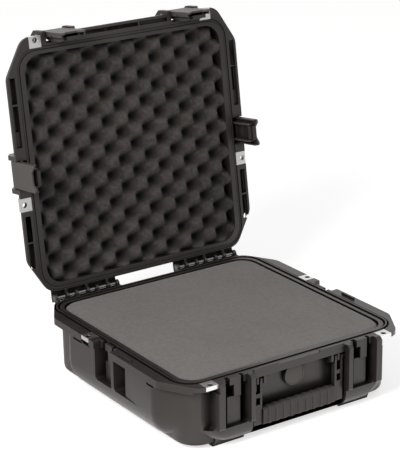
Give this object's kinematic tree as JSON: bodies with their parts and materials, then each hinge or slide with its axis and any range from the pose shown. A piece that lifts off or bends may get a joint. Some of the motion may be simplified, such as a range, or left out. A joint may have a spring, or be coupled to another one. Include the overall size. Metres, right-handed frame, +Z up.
{
  "type": "equipment case",
  "caption": "Square moulded equipment case with a hinged lid, plate latches with triggers, a carrying handle, a pressure valve, padlock eyes, foam in the base and waved foam in the lid.",
  "frame": {"origin": "centre of the case's footprint on the floor", "axes": "+Z up; -Y to the front, with the handle; +X to the right as seen from the front; the hinges are at +Y"},
  "size_m": [0.462, 0.5662, 0.5743],
  "materials": {
    "shell": "matte",
    "rubber": "matte",
    "trim": "satin",
    "foam": "matte",
    "lid_foam": "matte",
    "steel": "satin"
  },
  "bodies": {
    "base": {"base_shell": "shell", "foam_bottom_pad": "foam", "foam_middle_pad": "foam", "foam_top_pad": "foam", "valve_cap": "trim", "valve_seal": "rubber", "valve_nut": "shell", "handle_pins": "steel", "hinge_pin_left": "steel", "hinge_pin_right": "steel", "base_padlock_clips": "steel"},
    "handle": {"handle_frame": "shell", "handle_grip": "rubber"},
    "lid": {"lid_shell": "shell", "lid_seal": "rubber", "lid_foam": "lid_foam", "lid_padlock_clips": "steel", "latch_pin_front_left": "steel", "latch_pin_front_right": "steel", "latch_pin_left": "steel", "latch_pin_right": "steel"},
    "latch_front_left": {"latch_body_front_left": "shell", "trigger_pin_front_left": "steel", "trigger_spring_front_left": "steel"},
    "trigger_front_left": {"trigger_hook_front_left": "trim"},
    "latch_front_right": {"latch_body_front_right": "shell", "trigger_pin_front_right": "steel", "trigger_spring_front_right": "steel"},
    "trigger_front_right": {"trigger_hook_front_right": "trim"},
    "latch_left": {"latch_body_left": "shell", "trigger_pin_left": "steel", "trigger_spring_left": "steel"},
    "trigger_left": {"trigger_hook_left": "trim"},
    "latch_right": {"latch_body_right": "shell", "trigger_pin_right": "steel", "trigger_spring_right": "steel"},
    "trigger_right": {"trigger_hook_right": "trim"}
  },
  "joints": [
    {"name": "lid_hinge", "type": "hinge", "parent": "base", "child": "lid", "pos_m": [0, 0.222, 0.11875], "axis": [1, 0, 0], "range_deg": [0, 98]},
    {"name": "handle_swing", "type": "hinge", "parent": "base", "child": "handle", "pos_m": [0, -0.215, 0.098], "axis": [-1, 0, 0], "range_deg": [0, 90]},
    {"name": "latch_swing_front_left", "type": "hinge", "parent": "lid", "child": "latch_front_left", "pos_m": [-0.125, 0.3037, 0.55816], "axis": [-1, 0, 0], "range_deg": [0, 110]},
    {"name": "trigger_pull_front_left", "type": "hinge", "parent": "latch_front_left", "child": "trigger_front_left", "pos_m": [-0.125, 0.26647, 0.56268], "axis": [-1, 0, 0], "range_deg": [0, 6], "stiffness_Nm_per_rad": 0.1},
    {"name": "latch_swing_front_right", "type": "hinge", "parent": "lid", "child": "latch_front_right", "pos_m": [0.125, 0.3037, 0.55816], "axis": [-1, 0, 0], "range_deg": [0, 110]},
    {"name": "trigger_pull_front_right", "type": "hinge", "parent": "latch_front_right", "child": "trigger_front_right", "pos_m": [0.125, 0.26647, 0.56268], "axis": [-1, 0, 0], "range_deg": [0, 6], "stiffness_Nm_per_rad": 0.1},
    {"name": "latch_swing_left", "type": "hinge", "parent": "lid", "child": "latch_left", "pos_m": [-0.2225, 0.27245, 0.33584], "axis": [0, -0.1392, -0.9903], "range_deg": [0, 110]},
    {"name": "trigger_pull_left", "type": "hinge", "parent": "latch_left", "child": "trigger_left", "pos_m": [-0.2218, 0.23532, 0.34106], "axis": [0, -0.1392, -0.9903], "range_deg": [0, 6], "stiffness_Nm_per_rad": 0.1},
    {"name": "latch_swing_right", "type": "hinge", "parent": "lid", "child": "latch_right", "pos_m": [0.2225, 0.27245, 0.33584], "axis": [0, 0.1392, 0.9903], "range_deg": [0, 110]},
    {"name": "trigger_pull_right", "type": "hinge", "parent": "latch_right", "child": "trigger_right", "pos_m": [0.2218, 0.23532, 0.34106], "axis": [0, 0.1392, 0.9903], "range_deg": [0, 6], "stiffness_Nm_per_rad": 0.1}
  ]
}
